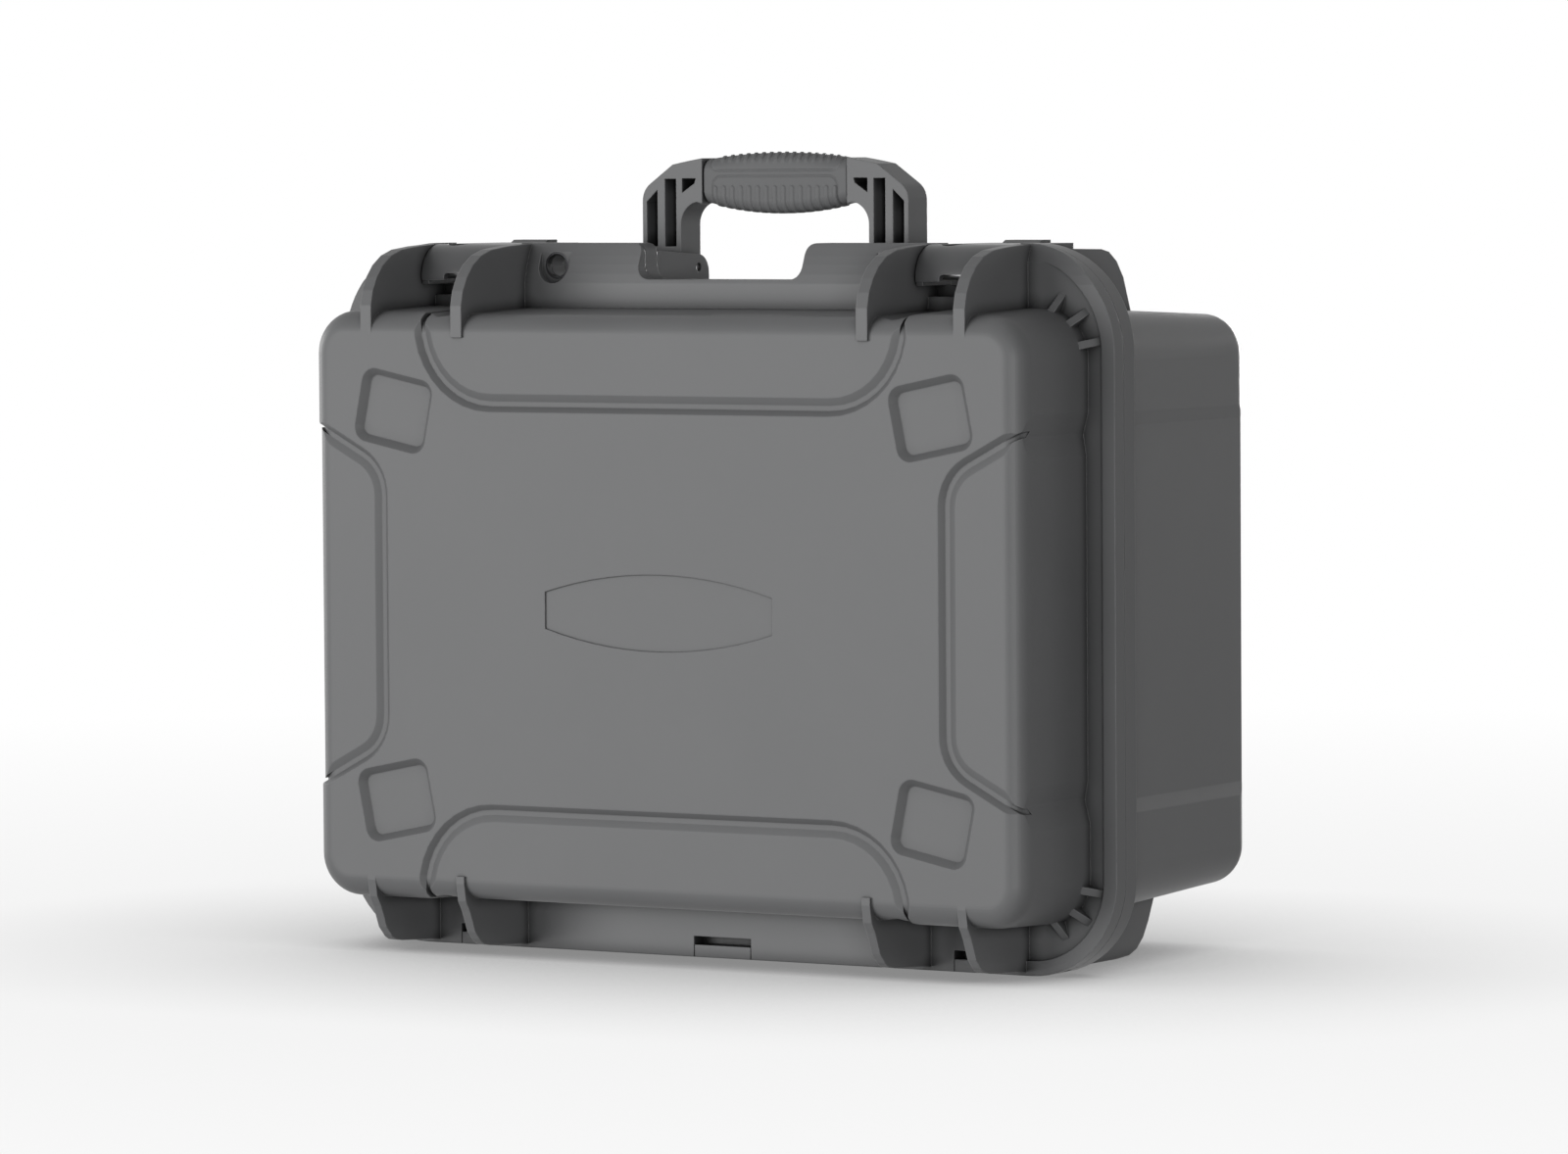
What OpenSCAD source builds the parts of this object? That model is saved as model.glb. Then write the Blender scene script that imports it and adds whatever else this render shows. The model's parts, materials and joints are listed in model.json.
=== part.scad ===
/* [Case body] */
// Width of both shells where they meet, without the flange
body_w = 440; // [410:1:520]
// Height of both shells where they meet, without the flange
body_h = 315; // [290:1:380]
// Depth of the lid from the parting plane to its face
lid_depth = 69.5; // [60:0.5:90]
// Depth of the base from the parting plane to its back
base_depth = 176.5; // [150:0.5:230]
// Wall thickness of both shells
wall = 4.4; // [4:0.1:5]
// Draft of the side walls in degrees
draft = 2.4; // [1.5:0.1:3]
// Radius of the lid's upright corners
lid_corner = 25; // [22:1:32]
// Radius of the base's upright corners
base_corner = 28; // [22:1:34]
// Radius where the walls turn into the face and the back
edge_fillet = 12; // [9:0.5:14]

/* [Flange] */
// How far the flange stands out above the top wall
flange_top = 32.5; // [30:0.5:40]
// How far the flange stands out below the bottom wall
flange_bottom = 26.5; // [24:0.5:30]
// How far the flange stands out beside the side walls
flange_side = 17; // [15:0.5:22]
// Thickness of the lid's flange
lid_flange = 9.2; // [8:0.1:11]
// Thickness of the base's flange
base_flange = 11.1; // [8:0.1:14]
// Gap at the parting line
part_gap = 0.3; // [0.2:0.05:0.5]
// Radius of the flange's upper corners
flange_r_top = 55; // [45:1:60]
// Radius of the flange's lower corners
flange_r_low = 50; // [40:1:55]

/* [Face] */
// Depth by which the four side fields lie below the face
field_drop = 1.3; // [0.8:0.1:1.5]
// Depth of the groove round each side field
groove_drop = 2.8; // [2:0.1:3]
// Width of the groove round each side field
groove_w = 5; // [3:0.5:7]
// Distance of the stacking pockets from the middle, across
pocket_x = 164.3; // [150:0.5:170]
// Distance of the stacking pockets from the middle, up and down
pocket_z = 102.7; // [95:0.5:106]
// Turn of the stacking pockets in degrees
pocket_turn = 11.5; // [0:0.5:15]
// Depth of the stacking pockets
pocket_depth = 4; // [2:0.5:5]
// Half length of the bare label field
label_half = 69.6; // [50:0.5:80]
// Height of the bare label field at its ends
label_end = 19.2; // [15:0.2:24]
// Height of the bare label field in its middle
label_mid = 40; // [30:1:50]
// Depth of the bare label field
label_drop = 0.8; // [0.5:0.1:1]

/* [Latches and ribs] */
// Distance of each latch and hinge bay from the middle
bay_x = 152.8; // [150:0.5:160]
// Clear width of a latch bay
latch_bay = 50.6; // [46:0.2:54]
// Thickness of the upper ribs
rib_top = 6.7; // [5:0.1:8]
// Clear width of an outer hinge bay
hinge_bay = 51.6; // [46:0.2:54]
// Thickness of the lower ribs
rib_low = 5; // [4:0.1:6]
// Side clearance of a latch lever in its bay
latch_side_gap = 0.8; // [0.5:0.1:1.2]
// Radius of the latch pivot pin
latch_pin_r = 2.5; // [2:0.1:3]
// Radius of the keeper bar in the base
keeper_r = 2.5; // [2:0.1:3]
// Distance of the padlock holes from the middle
padlock_x = 103.7; // [96:0.1:106]
// Radius of the padlock holes
padlock_r = 6; // [4:0.1:6.5]

/* [Handle] */
// Outer width over both handle legs
handle_w = 164.8; // [150:0.2:180]
// Width of one handle leg
leg_w = 24.1; // [20:0.1:28]
// Thickness of the handle from front to back
handle_t = 19; // [16:0.5:22]
// Height of the handle's crown above its pivot
crown_h = 61; // [56:0.5:70]
// Distance of the handle pivot behind the parting plane
pivot_s = 56.5; // [40:0.5:70]
// Height of the handle pivot above the top wall
pivot_up = 19; // [17:0.5:22]
// Radius of the handle pins
handle_pin_r = 2.25; // [2:0.05:3]
// Thickness of the ears that carry the handle
ear_t = 4.5; // [4:0.1:6]
// Half length of the rubber grip
grip_half = 45; // [38:0.5:50]

/* [Hinge] */
// Radius of the hinge pins
hinge_pin_r = 1.5; // [1.2:0.1:1.7]
// Width of the two outer hinge slots
outer_slot = 24.2; // [20:0.2:30]
// Width of the middle hinge slot
middle_slot = 35.4; // [28:0.2:44]
// Height of the hinge slots from the flange's lower edge
slot_up = 11; // [10:0.5:12]

/* [Foam] */
// Width of the laptop pocket
laptop_w = 384; // [340:1:390]
// Height of the laptop pocket
laptop_h = 262; // [240:1:268]
// Depth of the laptop pocket
laptop_t = 40; // [25:1:50]
// Depth of the two pockets under the laptop
accessory_t = 60; // [40:1:80]
// Thickness of the pad on the base's back
floor_pad = 25; // [15:1:35]

/* [Hidden] */
$fa = 5;
$fs = 0.6;

// Every piece is drawn lying down: x across, y up the standing case, z from the parting
// plane toward the lid's face. in_base() turns z round, toward the back of the base.
foot_h = 3;
half_w = body_w / 2;
half_h = body_h / 2;
flange_x = half_w + flange_side;
flange_hi = half_h + flange_top;
flange_lo = half_h + flange_bottom;
mid_z = flange_lo;
part_y = lid_depth - (lid_depth + base_depth + foot_h) / 2;
eps = 0.01;

// Fits: a pin turns with run_fit round it and sits with hold_fit round it.
run_fit = 0.05;
hold_fit = 0.02;

shell_grey = [0.25, 0.25, 0.26];
rubber_grey = [0.14, 0.14, 0.15];
foam_grey = [0.2, 0.2, 0.21];
steel_grey = [0.62, 0.62, 0.64];

module standing() {
  translate([0, part_y, mid_z]) rotate([90, 0, 0]) children();
}

module in_base() {
  mirror([0, 0, 1]) children();
}

module both_sides() {
  children();
  mirror([1, 0, 0]) children();
}

module four_corners() {
  for (sx = [0, 1]) for (sy = [0, 1])
    mirror([sx, 0, 0]) mirror([0, sy, 0]) children();
}

// A side view of height and depth, drawn t thick round the plane x = 0.
module upright(t) {
  rotate([90, 0, 90]) linear_extrude(height = t, center = true) children();
}

// A round bar or bore across the case, at height y and depth z.
module cross_bar(r, x0, x1, y, z) {
  translate([x0, y, z]) rotate([0, 90, 0]) cylinder(r = r, h = x1 - x0);
}

module round_rect(w, h, r) {
  square([w - 2 * r, h], center = true);
  square([w, h - 2 * r], center = true);
  for (sx = [-1, 1]) for (sy = [-1, 1])
    translate([sx * (w / 2 - r), sy * (h / 2 - r)]) circle(r = r);
}

// The largest fillet that a shell's upright corners leave room for at the end of the draft.
function most_fillet(r, d) = (r - d * tan(draft)) / (1 / cos(draft) - tan(draft)) - 0.5;
lid_fillet = min(edge_fillet, most_fillet(lid_corner, lid_depth));
base_fillet = min(edge_fillet, most_fillet(base_corner, base_depth));

// Section of a drafted wall, e from the middle at the parting plane, that turns over with
// fillet f into a flat at depth d.
turn_steps = 12;
function edge_points(e, d, f) =
  let(yc = d - f, xc = e - yc * tan(draft) - f / cos(draft))
  concat([[e, 0]], [for (i = [0 : turn_steps])
    let(a = draft + i * (90 - draft) / turn_steps) [xc + f * cos(a), yc + f * sin(a)]]);

module tub_section(e, d, f) {
  right = edge_points(e, d, f);
  polygon(concat(right, [for (i = [len(right) - 1 : -1 : 0]) [-right[i].x, right[i].y]]));
}

// A drafted tub without its hollow, k smaller all round.
module tub(r, d, f, k) {
  w = half_w - k;
  h = half_h - k;
  rc = r - k;
  for (i = [0 : 3])
    translate([(i == 0 || i == 3 ? 1 : -1) * (w - rc), (i < 2 ? 1 : -1) * (h - rc), 0])
      rotate([0, 0, 90 * i]) rotate_extrude(angle = 90)
        polygon(concat([[0, 0]], edge_points(rc, d - k, f - k), [[0, d - k]]));
  translate([0, h - rc, 0]) rotate([90, 0, 0])
    linear_extrude(height = 2 * (h - rc)) tub_section(w, d - k, f - k);
  translate([rc - w, 0, 0]) rotate([90, 0, 90])
    linear_extrude(height = 2 * (w - rc)) tub_section(h, d - k, f - k);
}

module tub_hollow(r, d, f) {
  translate([0, 0, -eps]) tub(r, d + eps, f, wall);
}

// A rounded pad that narrows by s over its height h, for pockets and feet.
module pad(w, h, r, t, s) {
  for (sx = [-1, 1]) for (sy = [-1, 1])
    translate([sx * (w / 2 - r), sy * (h / 2 - r), 0]) cylinder(r1 = r, r2 = r - s, h = t);
  rotate([90, 0, 0]) linear_extrude(height = h - 2 * r, center = true)
    polygon([[-w / 2, 0], [w / 2, 0], [w / 2 - s, t], [s - w / 2, t]]);
  rotate([90, 0, 90]) linear_extrude(height = w - 2 * r, center = true)
    polygon([[-h / 2, 0], [h / 2, 0], [h / 2 - s, t], [s - h / 2, t]]);
}

module at_pockets() {
  four_corners() translate([pocket_x, pocket_z, 0]) rotate([0, 0, pocket_turn]) children();
}

pocket_w = 45.6;
pocket_h = 39.5;
pocket_r = 8;
pocket_slope = 3.8;
foot_gap = 0.8;

// Outline of both flanges, k larger all round.
module flange_outline(k) {
  x_hi = flange_x - flange_r_top;
  x_lo = flange_x - flange_r_low;
  y_hi = flange_hi - flange_r_top;
  y_lo = flange_lo - flange_r_low;
  translate([-x_hi, -flange_lo - k]) square([2 * x_hi, flange_lo + flange_hi + 2 * k]);
  translate([-x_lo, -flange_lo - k]) square([2 * x_lo, flange_lo + y_hi + k]);
  translate([-flange_x - k, -y_lo]) square([2 * (flange_x + k), y_lo + y_hi]);
  for (s = [-1, 1]) {
    translate([s * x_hi, y_hi]) circle(r = flange_r_top + k);
    translate([s * x_lo, -y_lo]) circle(r = flange_r_low + k);
  }
}

// Points that round a corner b off, from t before it to t behind it.
soft_steps = 7;
function soft_corner(a, b, c, t) =
  let(p = b + t * (a - b) / norm(a - b), q = b + t * (c - b) / norm(c - b))
  [for (i = [0 : soft_steps]) let(s = i / soft_steps) (1 - s) * (1 - s) * p + 2 * s * (1 - s) * b + s * s * q];

// The dip in the top flange in front of the handle: upright sides, round above and below.
notch_half = 50.6;
notch_low = 8.5;
notch_high = 6;
notch_y = half_h + 13.5;
module notch() {
  side = concat(
    soft_corner([0, notch_y], [notch_half, notch_y], [notch_half, flange_hi], notch_low),
    soft_corner([notch_half, notch_y], [notch_half, flange_hi], [notch_half + flange_top, flange_hi], notch_high),
    [[notch_half + notch_high, flange_hi + 1]]);
  polygon(concat(side, [for (i = [len(side) - 1 : -1 : 0]) [-side[i].x, side[i].y]]));
}

function latch_x0() = bay_x - latch_bay / 2;
function hinge_x0() = bay_x - hinge_bay / 2;

module at_top_ribs() {
  both_sides() for (s = [-1, 1]) translate([bay_x + s * (latch_bay + rib_top) / 2, 0, 0]) children();
}

module at_low_ribs() {
  both_sides() for (s = [-1, 1]) translate([bay_x + s * (hinge_bay + rib_low) / 2, 0, 0]) children();
}

// A closed outline, given anticlockwise, with all its edges moved k inward.
function inset(p, k) = [for (i = [0 : len(p) - 1])
  let(
    a = p[(i + len(p) - 1) % len(p)],
    b = p[i],
    c = p[(i + 1) % len(p)],
    u = (b - a) / norm(b - a),
    v = (c - b) / norm(c - b),
    n = [-u.y, u.x],
    m = [-v.y, v.x]
  ) b + k * (n + m) / (1 + n * m)];

// Outlines of the side fields of the face, anticlockwise and open toward the walls.
field_end = 151;
end_corner = 47;
function end_outline() =
  let(x = field_end, y = half_h - 54.8, r = end_corner, reach = half_h + 40)
  concat(
    [for (a = [-90 : 10 : 0]) [x - r + r * cos(a), y + r + r * sin(a)]],
    [[x, reach], [-x, reach]],
    [for (a = [180 : 10 : 270]) [r - x + r * cos(a), y + r + r * sin(a)]]
  );

side_corner = 28;
side_slant = 28;
function side_outline() =
  let(
    r = side_corner,
    c = [half_w - 51.7 + r, 58],
    from = c + r * [-sin(side_slant), cos(side_slant)],
    x = half_w + 20,
    y = from.y + (x - from.x) * tan(side_slant)
  )
  concat(
    [[x, -y], [x, y]],
    [for (i = [0 : 7]) let(a = 90 + side_slant + i * (90 - side_slant) / 7) c + r * [cos(a), sin(a)]],
    [for (i = [0 : 7]) let(a = 180 + i * (90 - side_slant) / 7) [c.x, -c.y] + r * [cos(a), sin(a)]]
  );

// A solid whose outline p is moved inward by a given amount at each level: [height, inset].
module stepped(p, levels) {
  n = len(p);
  top = (len(levels) - 1) * n;
  polyhedron(
    points = [for (l = levels) for (q = inset(p, l[1])) [q.x, q.y, l[0]]],
    faces = concat(
      [[for (i = [0 : n - 1]) i], [for (i = [n - 1 : -1 : 0]) top + i]],
      [for (j = [0 : n : top - 1]) for (i = [0 : n - 1])
        [j + i, j + n + i, j + n + (i + 1) % n, j + (i + 1) % n]]
    ));
}

module fields(levels) {
  for (s = [0, 1]) mirror([0, s, 0]) stepped(end_outline(), levels);
  for (s = [0, 1]) mirror([s, 0, 0]) stepped(side_outline(), levels);
}

// A wide shallow trough at both ends of a wall's recessed field, cut along the drafted wall.
module wall_recess(half, edge, drop, d0, d1) {
  run = 11;
  out = 6;
  wide = half + out * run / drop;
  rotate([0, -draft, 0]) translate([0, 0, d0]) linear_extrude(height = d1 - d0)
    polygon([[out, wide], [-drop, half - run], [-drop, half - run - 2],
      [-edge, half - 2 * run], [-edge, 2 * run - half], [-drop, run + 2 - half], [-drop, run - half],
      [out, -wide]]);
}

// The lid's solid body. Each field is cut down to the groove's floor with a sloping edge, and
// filled up again inside it. Both start inside the flange's thickness.
gutter_floor = lid_flange - 3.2;
field_from = gutter_floor - 1;
step_w = 3;
ramp_w = 4;
module lid_core() {
  low = lid_depth - groove_drop;
  deep = lid_depth - edge_fillet;
  ramp = ramp_w / (groove_drop - field_drop);
  difference() {
    union() {
      difference() {
        tub(lid_corner, lid_depth, lid_fillet, 0);
        fields([[field_from, step_w], [low, step_w], [lid_depth + 1, -step_w / groove_drop]]);
      }
      tub(lid_corner, lid_depth, lid_fillet, groove_drop);
      intersection() {
        tub(lid_corner, lid_depth, lid_fillet, field_drop);
        fields([[field_from + 0.2, step_w - 0.1], [deep, step_w - 0.1], [deep + 3, step_w + groove_w / 2],
          [low, step_w + groove_w / 2], [lid_depth, step_w + groove_w / 2 + groove_drop * ramp]]);
      }
    }
    both_sides() translate([half_w, 0, 0])
      wall_recess(104.7, field_drop, groove_drop, field_from, lid_depth);
    for (s = [0, 1]) mirror([0, s, 0]) translate([0, half_h, 0]) rotate([0, 0, 90])
      wall_recess(field_end, field_drop, groove_drop, field_from, lid_depth);
  }
}

// Side view of an upper lid rib: its front lies in the face, its top runs out to the flange.
module lid_top_rib() {
  y0 = half_h - edge_fillet - 4;
  upright(rib_top) polygon([[y0, part_gap], [flange_hi - 0.6, part_gap], [flange_hi - 0.6, lid_flange],
    [half_h + 31, 25], [half_h + 29.5, 40], [half_h + 26.5, 50], [half_h + 21.5, lid_depth - 11.5],
    [half_h + 15.5, lid_depth - 6], [half_h + 8.5, lid_depth - 2], [half_h + 0.5, lid_depth],
    [y0, lid_depth]]);
}

module lid_low_rib() {
  y0 = edge_fillet + 4 - half_h;
  upright(rib_low) polygon([[y0, part_gap + 4], [2 - flange_lo, part_gap + 4], [2 - flange_lo, lid_flange],
    [4.3 - flange_lo, 45], [5.2 - flange_lo, 50.5], [7 - flange_lo, 54], [-half_h - 14, lid_depth - 10],
    [-half_h - 2.5, lid_depth - 5], [3 - half_h, lid_depth - 1.5], [12 - half_h, lid_depth],
    [y0, lid_depth]]);
}

gusset_t = 4;
lip_w = 7.6;
module corner_gussets() {
  rc = lid_corner;
  four_corners() translate([half_w - rc, half_h - rc, 0])
    for (a = [14, 43.5, 72]) rotate([0, 0, a]) rotate([90, 0, 0])
      linear_extrude(height = gusset_t, center = true)
        polygon([[rc - 5, gutter_floor - 2], [rc + 9, gutter_floor - 2], [rc + 9, gutter_floor],
          [rc - 0.5, lid_flange + 4.5], [rc - 5, lid_flange + 4.5]]);
}

// The sunk strip of the lid's flange between the side walls and the outer lip.
module gutter() {
  translate([0, 0, gutter_floor]) linear_extrude(height = lid_flange) difference() {
    flange_outline(-lip_w);
    square([2 * (bay_x + hinge_bay / 2 + 0.7 * rib_low), 4 * half_h], center = true);
  }
}

// The top of the lid's flange leans back in a shallow arc, and thins out toward its crest.
crest_up = 11.5;
crest_r = 58;
crest_start = 9;
crest_end = 34;
crest_steps = 5;
function crest_point(a) = [half_h + crest_up + crest_r * (sin(a) - sin(crest_start)),
  lid_flange + crest_r * (cos(a) - cos(crest_start))];
module crest_cut() {
  arc = [for (i = [0 : crest_steps]) crest_point(crest_start + i * (crest_end - crest_start) / crest_steps)];
  lead = 4;
  upright(2 * flange_x + 2)
    polygon(concat([arc[0] + [-lead, lead * tan(crest_start)]], arc, [[arc[crest_steps].x, 2 * lid_flange]]));
}

// Hinge line: low on the lid's flange, as far from the parting plane as from its lower edge.
hinge_r = 3.6;
hinge_y = hinge_r - flange_lo;
bead_r = hinge_r - 0.1;
module hinge_line_cut() {
  translate([-flange_x, -flange_lo - 1, -1]) cube([2 * flange_x, hinge_r + 1, hinge_r + 1]);
}

module hinge_bead() {
  reach = flange_x - flange_r_low;
  cross_bar(bead_r, -reach, reach, hinge_y, hinge_r);
}

slot_gap = 0.5;
pin_into_lid = 8;
module hinge_places() {
  for (s = [-1, 0, 1]) translate([s * bay_x, 0, 0]) {
    $slot = s == 0 ? middle_slot : outer_slot;
    children();
  }
}

module hinge_slots() {
  hinge_places() translate([-$slot / 2, -flange_lo - 1, -1])
    cube([$slot, slot_up + 1, lid_flange + 2]);
}

module hinge_bores(r) {
  hinge_places() cross_bar(r, -$slot / 2 - pin_into_lid - 0.5, $slot / 2 + pin_into_lid + 0.5,
    hinge_y, hinge_r);
}

module hinge_pin(s) {
  w = s == 0 ? middle_slot : outer_slot;
  translate([s * bay_x, 0, 0])
    cross_bar(hinge_pin_r, -w / 2 - pin_into_lid, w / 2 + pin_into_lid, hinge_y, hinge_r);
}

// Base knuckles reach through the lid's slots and end level with its flange.
knuckle_up = 6.4;
module base_knuckles() {
  difference() {
    hinge_places() translate([slot_gap - $slot / 2, -flange_lo, -base_flange])
      cube([$slot - 2 * slot_gap, knuckle_up, base_flange + lid_flange]);
    hinge_bores(hinge_pin_r + hold_fit);
  }
}

// Seal: a groove in the lid over the wall, a rubber ring in it, a ridge on the base.
seal_off = 1.5;
seal_w = 4.4;
seal_d = 4.5;
seal_t = 3.6;
ridge_w = 2.4;
module seal_band(w) {
  difference() {
    round_rect(body_w + 2 * seal_off + w, body_h + 2 * seal_off + w, lid_corner + seal_off + w / 2);
    round_rect(body_w + 2 * seal_off - w, body_h + 2 * seal_off - w, lid_corner + seal_off - w / 2);
  }
}

// Padlock holes: a bush in the lid's flange and a plain hole in the base's.
padlock_y = half_h + 20.7;
eyelet_wall = 1.2;
padlock_sink = 5.2;
module padlock_place() {
  both_sides() translate([padlock_x, padlock_y, 0]) children();
}

module padlock_cut() {
  sink_r = 9.4;
  padlock_place() {
    translate([0, 0, -1]) cylinder(r = padlock_r + eyelet_wall + hold_fit, h = lid_flange + 2);
    translate([0, 0, lid_flange - padlock_sink]) linear_extrude(height = lid_flange) {
      circle(r = sink_r);
      translate([-sink_r, 0]) square([2 * sink_r, flange_top]);
    }
  }
}

module padlock_eyelet() {
  translate([padlock_x, padlock_y, part_gap]) difference() {
    cylinder(r = padlock_r + eyelet_wall, h = lid_flange - padlock_sink - part_gap);
    translate([0, 0, -1]) cylinder(r = padlock_r, h = lid_flange);
  }
}

// Latch: the lever turns on a pin between the lid's ribs and reaches back over the base.
latch_y = half_h + 16.5;
latch_z = 13;
nose_y = half_h + 15;
nose_z = 6;
nose_r = 17;
lever_t = 4;
lever_top = nose_y + nose_r;
tab_s = 54;
tab_w = 22;
cheek_t = 4;
boss_r = latch_pin_r + 2.6;
keeper_s = 30;
keeper_y = half_h + 19;
pin_into_rib = 4;
window_lid = half_h + 5.2;
nose_low = half_h + 13.2;
cheek_low = half_h + 11;
window_base = half_h + 11;

// Clear side gap between a latch lever and its ribs.
lever_w = latch_bay - 2 * latch_side_gap;

module nose_ring() {
  intersection() {
    difference() {
      translate([nose_y, nose_z]) circle(r = nose_r);
      translate([nose_y, nose_z]) circle(r = nose_r - lever_t);
    }
    translate([nose_low, nose_z]) square([40, 40]);
  }
}

module lever_side() {
  nose_ring();
  translate([lever_top - lever_t, -tab_s]) square([lever_t, tab_s + nose_z]);
}

module hook_side() {
  hook_s = keeper_s + keeper_r + 1.2;
  tip = keeper_y + keeper_r + 0.6;
  polygon([[lever_top - 1, -hook_s - 7], [lever_top - 1, -keeper_s + 7], [tip + 2, -keeper_s + 5],
    [tip, -keeper_s + 3], [tip, -hook_s - 3], [tip + 1.5, -hook_s - 5]]);
}

module cheek_side() {
  difference() {
    union() {
      intersection() {
        translate([nose_y, nose_z]) circle(r = nose_r - 0.5);
        translate([cheek_low, -6]) square([40, 40]);
      }
      polygon([[lever_top - 1, nose_z], [lever_top - 1, 4 - tab_s], [lever_top - 5.5, 4 - tab_s],
        [lever_top - 10, -keeper_s + 12], [cheek_low, -4], [cheek_low, nose_z]]);
    }
    translate([latch_y, latch_z]) circle(r = latch_pin_r + run_fit);
  }
}

// Everything of one lever, at the bay's middle.
module latch_lever() {
  difference() {
    union() {
      upright(lever_w) lever_side();
      upright(tab_w) hook_side();
      for (s = [-1, 1]) translate([s * (lever_w - cheek_t) / 2, 0, 0]) upright(cheek_t) cheek_side();
      // the finger tab at the far end, a little proud
      upright(tab_w) polygon([[lever_top - 1, -tab_s + 14], [lever_top + 1.6, -tab_s + 9],
        [lever_top + 1.6, -tab_s], [lever_top - lever_t, -tab_s]]);
    }
    // the finger cut under the tab
    upright(tab_w + 10) polygon([[lever_top - 20, -tab_s - 1], [lever_top - lever_t + 0.8, -tab_s - 1],
      [lever_top - lever_t - 0.5, -tab_s + 9], [lever_top - 20, -tab_s + 9]]);
    // the sunk field on the nose
    translate([-lever_w / 4, lever_top - 1.6, nose_z - 14]) rotate([-90, 0, 0]) linear_extrude(height = 5)
      mirror([0, 1]) {
        translate([-7, 0]) square([14, 12]);
        translate([0, 12]) circle(r = 7);
      }
    // the notch in the nose's lower edge, in front of the pin
    translate([0, nose_low - 1, nose_z + nose_r - lever_t - 2]) linear_extrude(height = lever_t + 5)
      round_rect(lever_w - 28, 9, 2.1);
  }
}

module at_left_bay() {
  translate([-bay_x, 0, 0]) children();
}

module at_right_bay() {
  translate([bay_x, 0, 0]) children();
}

module latch_pin() {
  cross_bar(latch_pin_r, -latch_bay / 2 - pin_into_rib, latch_bay / 2 + pin_into_rib, latch_y, latch_z);
}

module keeper_bar() {
  cross_bar(keeper_r, -latch_bay / 2 - pin_into_rib, latch_bay / 2 + pin_into_rib, keeper_y, -keeper_s);
}

// Handle: it stands over the base and folds back on pins between two pairs of ears.
pivot_y = half_h + pivot_up;
leg_out = handle_w / 2;
leg_in = leg_out - leg_w;
ear_gap = 0.5;
crown_y = pivot_y + crown_h;
belly_y = crown_y - 32.7;
shoulder_y = pivot_y + 40.9;
crown_r = 308;
belly_r = 188;
inner_r = 12;
leg_end_r = handle_t / 2;

shoulder_soft = 6;
module handle_outline() {
  shoulder = [leg_out, shoulder_y];
  top = [leg_out - 20.4, shoulder_y + 14.5];
  side = concat([[leg_out, 0]], soft_corner([leg_out, 0], shoulder, top, shoulder_soft), [top, [20, crown_y + 3]]);
  difference() {
    intersection() {
      polygon(concat(side, [for (i = [len(side) - 1 : -1 : 0]) [-side[i].x, side[i].y]]));
      translate([0, crown_y - crown_r]) circle(r = crown_r, $fn = 720);
    }
    difference() {
      union() {
        translate([-leg_in, 0]) square([2 * leg_in, belly_y + 6.5 - inner_r]);
        translate([inner_r - leg_in, 0]) square([2 * (leg_in - inner_r), belly_y + 6.5]);
        for (s = [-1, 1]) translate([s * (leg_in - inner_r), belly_y + 6.5 - inner_r]) circle(r = inner_r);
      }
      translate([0, belly_y + belly_r]) circle(r = belly_r, $fn = 720);
    }
  }
}

// Side view of the handle: straight legs with round ends on the pivot.
module handle_side() {
  translate([pivot_y, -pivot_s]) circle(r = leg_end_r);
  translate([pivot_y, -pivot_s - handle_t / 2]) square([2 * crown_h, handle_t]);
}

module handle_solid() {
  intersection() {
    translate([0, 0, -pivot_s - handle_t / 2]) linear_extrude(height = handle_t) handle_outline();
    upright(handle_w + 2) handle_side();
  }
}

core_low = belly_y + 9;
core_h = 14;
core_t = 9;
module handle_core(k) {
  translate([-grip_half - 1, core_low - k, -pivot_s - core_t / 2 - k])
    cube([2 * grip_half + 2, core_h + 2 * k, core_t + 2 * k]);
}

// The deep slots in the front of both legs and the small corner pockets beside them.
slot_depth = 15;
slot_rib = 2.6;
slot_long = 7.2;
module leg_slots() {
  low = pivot_y + 11;
  translate([0, 0, -pivot_s + handle_t / 2 - slot_depth]) linear_extrude(height = slot_depth + 1)
    for (s = [0, 1]) mirror([s, 0]) {
      x1 = leg_out - slot_rib;
      x2 = x1 - slot_long - 4.2;
      polygon([[x1 - slot_long + 0.4, low], [x1, low], [x1, shoulder_y - 6], [x1 - slot_long + 0.4, shoulder_y + 0.3]]);
      translate([x2 - slot_long, low]) square([slot_long, shoulder_y + 6 - low]);
      polygon([[leg_in - 0.8, shoulder_y + 6.2], [leg_in - 9.4, shoulder_y + 6.2], [leg_in - 8.6, shoulder_y + 3.6],
        [leg_in - 0.8, shoulder_y - 1.5]]);
    }
}

module grip_side() {
  r = 6.5;
  translate([belly_y - 1 + r, r - handle_t / 2 - pivot_s]) {
    translate([-r, 0]) square([crown_y - belly_y + 2, handle_t - 2 * r]);
    translate([0, -r]) square([crown_y - belly_y + 2 - 2 * r, handle_t]);
    for (y = [0, crown_y - belly_y + 2 - 2 * r]) for (z = [0, handle_t - 2 * r])
      translate([y, z]) circle(r = r);
  }
}

ear_top = pivot_y + 9.7;
module ear_side() {
  polygon([[half_h - 6, -base_flange + 1], [ear_top, -base_flange + 1], [pivot_y + 6.8, -pivot_s - 1],
    [half_h - 6, -pivot_s - 1]]);
  translate([pivot_y - 3.2, -pivot_s]) circle(r = 10);
  translate([half_h - 6, -pivot_s - 10]) square([pivot_y - 3.2 - half_h + 6, 11]);
}

inner_ear = leg_in - ear_gap - ear_t / 2;
outer_ear = leg_out + ear_gap + ear_t / 2;
module ears() {
  both_sides() for (x = [inner_ear, outer_ear]) translate([x, 0, 0]) upright(ear_t) ear_side();
}

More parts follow.
